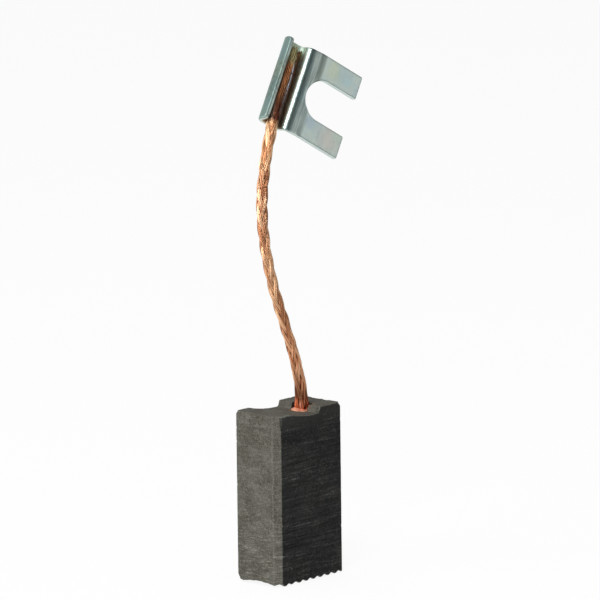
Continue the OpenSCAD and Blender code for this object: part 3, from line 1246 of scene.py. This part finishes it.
@dataclass
class CarbonBlock:
    """The ground carbon block, with rubbed edges and small chips.

    Attributes:
        voxel: Size of the mesh's quads.
        rubbed: Rounds of smoothing that rub all edges.
        chipped: Rounds of smoothing that shape the chips.
        blunted: Rounds of smoothing that round the worn spots.
        chip_step: Distance from one chip to the next along an edge.
        top_band: Height from which the head's edges chip more, and the depth of the change.
        worn_spots: Place and reach of the spots that have lost most.
        hole: The hole, whose rim hardly chips.
        rim: How wide its rim is.
        grain: Depth and step of the fine and the coarse grain of the skin.
    """

    voxel: float = 0.1
    rubbed: int = 4
    chipped: int = 30
    blunted: int = 70
    chip_step: float = 0.9
    top_band: tuple[float, float] = (19.5, 0.3)
    worn_spots: tuple[tuple[float, float, float, float], ...] = (
        (-5.5, 3.15, 0.1, 0.85),
        (-5.5, 3.15, 20.0, 0.32),
        (-4.1, -3.15, 19.4, 1.5),
        (5.5, -3.15, 20.0, 0.4),
    )
    hole: TampedHole = TampedHole()
    rim: float = 0.2
    grain: tuple[tuple[float, float], tuple[float, float]] = ((0.006, 0.33), (0.012, 1.3))

    def chips(self, sharp: np.ndarray) -> np.ndarray:
        """How far each point takes part in a chip.

        Args:
            sharp: The points of the unworn block.

        Returns:
            A number from 0 to 1 for each point.
        """
        noise = Lattice(11).at(sharp, self.chip_step) + 0.5 * Lattice(12).at(sharp, self.chip_step / 2.3)
        top = ramp(sharp[:, 2], *self.top_band)
        share = np.clip((noise - 0.62 + 0.35 * top) / 0.4, 0, 1) * (0.6 + 0.25 * top)
        x, y = self.hole.centre
        share[np.hypot(sharp[:, 0] - x, sharp[:, 1] - y) < self.hole.diameter / 2 + self.rim] *= 0.3
        return share

    def build(self, finish: Finish, node: bpy.types.Object) -> bpy.types.Object:
        """Builds the block from its CAD solid.

        Args:
            finish: What the carbon looks like.
            node: The CAD node that it replaces.

        Returns:
            The piece.
        """
        copy = bpy.data.objects.new("block_copy", node.data.copy())
        copy.data.transform(Matrix.Scale(1 / MM, 4))
        bpy.context.scene.collection.objects.link(copy)
        skin = Skin.of_voxels(copy, self.voxel)
        sharp = skin.points.copy()
        normals = skin.normals()
        rubbed, soft = skin.relaxed(self.rubbed), skin.relaxed(self.chipped)
        skin.points = rubbed + self.chips(sharp)[:, None] * (soft - rubbed)
        blunt = skin.relaxed(self.blunted)
        rubs = np.zeros(len(sharp))
        for *spot, reach in self.worn_spots:
            away = np.linalg.norm(sharp - np.array(spot), axis=1)
            share = np.clip((reach - away) / (0.6 * reach), 0, 1)
            skin.points += share[:, None] * (blunt - skin.points)
            rubs = np.maximum(rubs, share)
        grain = sum(Lattice(21 + i).at(sharp, step) * depth for i, (depth, step) in enumerate(self.grain))
        skin.points -= (np.abs(grain) + 0.002)[:, None] * normals
        lost = np.einsum("ij,ij->i", sharp - soft, normals)
        calm = np.abs(Skin(skin.relaxed(3), skin.faces).normals())
        skin.marks["edge"] = np.clip(lost / 0.16 + 0.3 * rubs, 0, 1)
        skin.marks["broad"] = ramp(calm[:, 1], 0.82, 0.1)
        skin.marks["ends"] = ramp(calm[:, 2], 0.4, 0.3)
        piece = skin.to_object("ground_block", finish, "carbon")
        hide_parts("carbon_block")
        return piece


@dataclass
class TampedPlug:
    """The copper powder that is tamped round the pigtail's end.

    Attributes:
        hole: The hole that the powder fills.
        mound: Height, distance from the middle and width of the ring of powder round the pigtail.
        gaps: Direction and half width, in degrees, of the places where the powder has fallen away.
        heap: Direction, half width and height of the crumbs that lie against the hole's wall.
        spill: Direction and half width of the crumbs that lie over the rim, and their reach in radii.
        rings: Rings of quads on the face.
        sides: Quads round the plug.
    """

    hole: TampedHole = TampedHole()
    mound: tuple[float, float, float] = (0.12, 0.75, 0.4)
    gaps: tuple[tuple[float, float], ...] = ((98.0, 22.0), (-4.0, 34.0))
    heap: tuple[float, float, float] = (165.0, 42.0, 0.2)
    spill: tuple[float, float, float] = (225.0, 38.0, 0.16)
    rings: int = 30
    sides: int = 96

    @staticmethod
    def facing(turn: np.ndarray, direction: float, width: float) -> np.ndarray:
        """1 for turns in radians that face a direction in degrees, and less beyond its half width."""
        away = (turn - math.radians(direction) + math.pi) % (2 * math.pi) - math.pi
        return hill(away, 0.0, math.radians(width))

    def crumbled(self, points: np.ndarray) -> np.ndarray:
        """How far the powder stands above the plug's flat face.

        Args:
            points: Places on the flat face, one row each.

        Returns:
            The height at each place.
        """
        x, y = self.hole.centre
        radius = self.hole.diameter / 2
        out = np.hypot(points[:, 0] - x, points[:, 1] - y)
        turn = np.arctan2(points[:, 1] - y, points[:, 0] - x)
        height, ring, width = self.mound
        crumbs = 0.05 * Lattice(31).at(points, 0.3) + 0.03 * Lattice(32).at(points, 0.13)
        heaped = self.heap[2] * self.facing(turn, *self.heap[:2])
        heaped *= ramp(out, 0.6, 0.3) * np.clip((radius - out) / 0.3 + 0.4, 0, 1)
        spilt = 0.07 * self.facing(turn, *self.spill[:2]) * ramp(out, 0.9, 0.2)
        sunk = sum(self.facing(turn, *gap) for gap in self.gaps) * ramp(out, 0.72, 0.2)
        return crumbs + heaped + spilt + height * hill(out, ring, width) - 0.9 * sunk

    def build(self, finish: Finish) -> bpy.types.Object:
        """Builds the plug with its crumbly face.

        Args:
            finish: What the powder looks like.

        Returns:
            The piece.
        """
        radius = self.hole.diameter / 2
        reach = np.concatenate([np.linspace(0.02, radius - 0.01, self.rings), [radius - 0.005] * 2])
        drop = np.concatenate([np.zeros(self.rings), [0.6, self.hole.depth]])
        angles = np.arange(self.sides) * 2 * math.pi / self.sides
        over_rim = self.spill[2] * self.facing(angles, *self.spill[:2]) * ramp(reach, 0.8, 0.4)[:, None]
        over_rim[drop > 0] = 0.0
        spread = reach[:, None] * (1 + over_rim)
        x = self.hole.centre[0] + spread * np.cos(angles)
        y = self.hole.centre[1] + spread * np.sin(angles)
        z = np.broadcast_to(self.hole.rim - drop[:, None], x.shape)
        points = np.stack([x, y, z], axis=2).reshape(-1, 3)
        face = np.repeat(drop == 0, self.sides)
        points[face, 2] += self.crumbled(points[face])
        faces = ring_faces(len(reach), self.sides)[:, TURNED_OVER]
        piece = Skin(points, faces).to_object("tamped_powder", finish, "tamped_copper")
        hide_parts("copper_plug")
        return piece


@dataclass
class ForkTerminal:
    """The fork terminal, cut as a flat strip and folded.

    Attributes:
        sheet: Thickness of the sheet.
        height: Height of the terminal along the pigtail.
        slot_width: Width of the slot.
        slot_depth: Depth of the slot from the arms' ends.
        trough: Inside width of the trough.
        gap_to_floor: Distance from the pigtail's middle to the trough's floor.
        folds: Each fold's flat, the bend after it in degrees, and the bend's inside radius.
        lip_corner: Corner radius of the free wall.
        arm_corner: Corner radius of the arms.
        foot: Place of the terminal's lower end on the pigtail.
        lean: Turns of the pigtail's direction there about X and Y, in degrees.
        turn: Turn of the terminal about the pigtail.
        voxel: Size of the mesh's quads.
        softened: Rounds of smoothing that take the sharpness off the sheared edges.
        buckle: Depth of the sheet's faint waves and the distance from one to the next.
        lip_rub: How bare the free wall's lip is, against the other sheared edges.
    """

    sheet: float = 0.6
    height: float = 10.4
    slot_width: float = 4.7
    slot_depth: float = 6.8
    trough: float = 2.3
    gap_to_floor: float = 0.65
    folds: tuple[tuple[float, float, float], ...] = (
        (0.8, -90.0, 0.5),
        (1.3, -90.0, 0.5),
        (0.05, 80.0, 0.3),
        (1.2, 10.0, 1.0),
        (6.1, 0.0, 0.0),
    )
    lip_corner: float = 0.5
    arm_corner: float = 0.03
    foot: tuple[float, float, float] = (2.1, 3.8, 52.0)
    lean: tuple[float, float] = (-5.0, 34.0)
    turn: float = -12.0
    voxel: float = 0.08
    softened: int = 5
    buckle: tuple[float, float] = (0.012, 2.6)
    lip_rub: float = 0.35

    def rotation(self) -> Matrix:
        """Works out how the terminal is turned in the part's frame.

        Returns:
            The turn.
        """
        about_x, about_y = (math.radians(a) for a in self.lean)
        return (
            Matrix.Rotation(about_y, 3, "Y")
            @ Matrix.Rotation(about_x, 3, "X")
            @ Matrix.Rotation(math.radians(self.turn), 3, "Z")
        )

    def strip_length(self) -> float:
        """Length of the flat strip along its middle."""
        half = self.sheet / 2
        return sum(flat + math.radians(abs(bend)) * (inside + half) for flat, bend, inside in self.folds)

    def outline(self) -> list[tuple[float, float]]:
        """Outline of the flat strip, with its slot and rounded corners.

        Returns:
            Its points along the strip and up it.
        """
        length, height = self.strip_length(), self.height
        low, high = (height - self.slot_width) / 2, (height + self.slot_width) / 2
        slot_r = self.slot_width / 2
        round_x = length - self.slot_depth + slot_r

        def arc(x: float, y: float, r: float, start: float, end: float) -> list[tuple[float, float]]:
            """Draws an arc.

            Args:
                x: Its middle along the strip.
                y: Its middle up the strip.
                r: Its radius.
                start: Its first angle in degrees.
                end: Its last angle.

            Returns:
                Its points.
            """
            steps = max(4, int(abs(end - start) / 6))
            angles = [math.radians(start + (end - start) * k / steps) for k in range(steps + 1)]
            return [(x + r * math.cos(a), y + r * math.sin(a)) for a in angles]

        lip, arm = self.lip_corner, self.arm_corner
        return (
            arc(lip, lip, lip, 180, 270)
            + arc(length - arm, arm, arm, -90, 0)
            + arc(length - arm, low - arm, arm, 0, 90)
            + arc(round_x, height / 2, slot_r, 270, 90)
            + arc(length - arm, high + arm, arm, -90, 0)
            + arc(length - arm, height - arm, arm, 0, 90)
            + arc(lip, height - lip, lip, 90, 180)
        )

    def flat_strip(self) -> bpy.types.Object:
        """Cuts the flat strip.

        Returns:
            The strip as a closed object in millimetres.
        """
        outline = self.outline()
        count = len(outline)
        half = self.sheet / 2
        points = [(x, y, z) for z in (-half, half) for x, y in outline]
        faces = [list(range(count))[::-1], list(range(count, 2 * count))]
        faces += [[i, (i + 1) % count, count + (i + 1) % count, count + i] for i in range(count)]
        mesh = bpy.data.meshes.new("flat_strip")
        mesh.from_pydata(points, [], faces)
        strip = bpy.data.objects.new("flat_strip", mesh)
        bpy.context.scene.collection.objects.link(strip)
        return strip

    def folded(self, strip: np.ndarray) -> np.ndarray:
        """Folds points of the flat strip.

        Args:
            strip: Place along the strip, up it, and through its thickness, one row each.

        Returns:
            The points in the terminal's own frame, with the pigtail's middle as its upright axis.
        """
        along, up, through = strip.T
        free_wall, _, corner_r = self.folds[0]
        top = self.gap_to_floor - corner_r - free_wall
        start = np.array([-(self.trough + self.sheet) / 2, top])
        heading = math.pi / 2
        flat = np.zeros((len(strip), 2))
        begun = 0.0
        for i, (length, bend, inside) in enumerate(self.folds):
            ahead = np.array([math.cos(heading), math.sin(heading)])
            left = np.array([-ahead[1], ahead[0]])
            last = i == len(self.folds) - 1
            here = along >= begun if last else (along >= begun) & (along < begun + length)
            if i == 0:
                here |= along < begun
            flat[here] = start + (along[here] - begun)[:, None] * ahead + through[here, None] * left
            start = start + length * ahead
            begun += length
            if bend:
                radius = inside + self.sheet / 2
                way = math.copysign(1.0, bend)
                turn = math.radians(abs(bend))
                hub = start + way * radius * left
                here = (along >= begun) & (along < begun + turn * radius)
                angle = (along[here] - begun) / radius
                spoke = radius - way * through[here]
                flat[here] = hub + (spoke * np.sin(angle))[:, None] * ahead
                flat[here] -= way * (spoke * np.cos(angle))[:, None] * left
                start = hub + radius * math.sin(turn) * ahead - way * radius * math.cos(turn) * left
                heading += way * turn
                begun += turn * radius
        return np.column_stack([flat, up])

    def build(self, finish: Finish) -> bpy.types.Object:
        """Cuts, rounds and folds the strip and puts it on the pigtail.

        Args:
            finish: What the plating looks like.

        Returns:
            The piece.
        """
        skin = Skin.of_voxels(self.flat_strip(), self.voxel)
        normals = skin.normals()
        at_lip = skin.points[:, 0] < self.sheet / 2
        skin.marks["cut"] = ramp(-np.abs(normals[:, 2]), -0.75, 0.3) * np.where(at_lip, self.lip_rub, 1.0)
        skin.marks["strip"] = skin.points.copy()
        strip = skin.relaxed(self.softened)
        depth, step = self.buckle
        strip[:, 2] += depth * Lattice(41).at(strip * (1, 1, 0), step)
        local = self.folded(strip)
        skin.points = local @ np.array(self.rotation()).T + np.array(self.foot)
        skin.faces = skin.faces[:, TURNED_OVER]  # the fold mirrors the strip, so its quads face inwards
        piece = skin.to_object("folded_terminal", finish, "zinc_plated_steel")
        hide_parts("fork_terminal")
        return piece


# ---------------------------------------------------------------- camera and light


class Side(Enum):
    """Directions from the object to a lamp, before they are made unit vectors."""

    KEY = (-0.58, -0.36, 0.73)
    LEFT = (-0.95, 0.25, 0.2)
    ABOVE = (0.1, 0.35, 0.93)


@dataclass(frozen=True)
class Softbox:
    """A square area lamp.

    Attributes:
        side: Where it stands.
        level: How bright it makes a white surface that faces it.
        size: Length of its sides in metres.
        away: Its distance in metres.
    """

    side: Side
    level: float
    size: float
    away: float = 0.6

    def build(self, target: Vector) -> bpy.types.Object:
        """Adds the lamp.

        Args:
            target: What it points at.

        Returns:
            The lamp.
        """
        light = bpy.data.lights.new(self.side.name.lower(), "AREA")
        light.size = self.size
        light.energy = math.pi**2 * self.away**2 * self.level
        lamp = bpy.data.objects.new(light.name, light)
        out = Vector(self.side.value).normalized()
        lamp.location = target + out * self.away
        lamp.rotation_euler = (-out).to_track_quat("-Z", "Y").to_euler()
        bpy.context.scene.collection.objects.link(lamp)
        return lamp


@dataclass
class Studio:
    """The camera, the lamps, the floor and the white surroundings.

    Attributes:
        azimuth: Direction from which the camera looks, in degrees from the front.
        elevation: Its angle above the floor.
        roll: Its turn about its own axis.
        distance: Its distance in millimetres.
        lens: Focal length.
        sensor: Width of its sensor.
        clip: Nearest and farthest distance that it sees, in metres.
        target: The point at the middle of the picture, in millimetres.
        lamps: The lamps.
        lit: The point that they face, in metres.
        ambient: Light from all round.
        floor_reach: Distance in metres from the floor's middle to its sides.
    """

    azimuth: float = -48.15
    elevation: float = 11.28
    roll: float = -0.7
    distance: float = 999.8
    lens: float = 525.7
    sensor: float = 36.0
    clip: tuple[float, float] = (0.05, 20.0)
    target: tuple[float, float, float] = (1.46, -0.7, 32.21)
    lamps: tuple[Softbox, ...] = (
        Softbox(Side.KEY, 0.6, 0.22),
        Softbox(Side.LEFT, 0.65, 0.5),
        Softbox(Side.ABOVE, 0.25, 0.5),
    )
    lit: tuple[float, float, float] = (0.0, 0.0, 0.03)
    ambient: float = 0.3
    floor_reach: float = 4.0

    def build_camera(self) -> None:
        """Adds the camera."""
        azimuth, elevation = math.radians(self.azimuth), math.radians(self.elevation)
        flat = Vector((math.sin(azimuth), -math.cos(azimuth), 0.0)) * math.cos(elevation)
        back = flat + Vector((0.0, 0.0, math.sin(elevation)))
        data = bpy.data.cameras.new("camera")
        data.lens = self.lens
        data.sensor_width = self.sensor
        data.clip_start, data.clip_end = self.clip
        camera = bpy.data.objects.new("camera", data)
        level = back.to_track_quat("Z", "Y").to_matrix().to_4x4()
        place = Matrix.Translation((Vector(self.target) + back * self.distance) * MM)
        camera.matrix_world = place @ level @ Matrix.Rotation(math.radians(self.roll), 4, "Z")
        bpy.context.scene.collection.objects.link(camera)
        bpy.context.scene.camera = camera

    def build_light(self) -> None:
        """Adds the lamps, the floor and the surroundings."""
        for lamp in self.lamps:
            lamp.build(Vector(self.lit))
        self.build_floor()
        self.build_surroundings()
        bpy.context.scene.view_settings.view_transform = "Standard"

    def build_floor(self) -> None:
        """Adds the floor."""
        mesh = bpy.data.meshes.new("floor")
        reach = self.floor_reach
        corners = [(-reach, -reach, 0), (reach, -reach, 0), (reach, reach, 0), (-reach, reach, 0)]
        mesh.from_pydata(corners, [], [(0, 1, 2, 3)])
        mesh.materials.append(PaleFloor("pale_floor").material())
        floor = bpy.data.objects.new("floor", mesh)
        bpy.context.scene.collection.objects.link(floor)

    def build_surroundings(self) -> None:
        """Adds white surroundings that metal mirrors bright below and on the left, and dim above."""
        world = bpy.data.worlds.new("surroundings")
        world.use_nodes = True
        bpy.context.scene.world = world
        graph = Graph(world.node_tree)
        toward = graph.add("ShaderNodeTexCoord", {}, {}, "Generated")
        azimuth = math.radians(self.azimuth)
        aside = math.cos(azimuth) * toward.axis("X") + math.sin(azimuth) * toward.axis("Y")
        mirrored = (1.12 - 0.84 * toward.axis("Z").rise(0.1, 0.34)) * (1.0 - 0.3 * aside) - self.ambient
        strength = self.ambient + (1.0 - self.ambient) * graph.ray("Camera") + mirrored * graph.ray("Glossy")
        background = graph.add("ShaderNodeBackground", {}, {"Color": PURE_WHITE, "Strength": strength})
        graph.add("ShaderNodeOutputWorld", {}, {"Surface": background})


def main() -> None:
    """Builds the scene and reports each piece."""
    logging.basicConfig(level=logging.INFO, format="%(message)s")
    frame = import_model()
    studio = Studio()
    studio.build_camera()
    terminal = ForkTerminal()
    plate = terminal.build(ZincPlate("zinc_plate"))
    across = terminal.rotation() @ Vector((1.0, 0.0, 0.0))
    Pigtail().build(BraidedCopper("braided_copper"), across, plate)
    CarbonBlock().build(GroundCarbon("ground_carbon"), frame["nodes"]["carbon_block"])
    TampedPlug().build(CopperPowder("copper_powder"))
    studio.build_light()


if __name__ == "__main__":
    main()
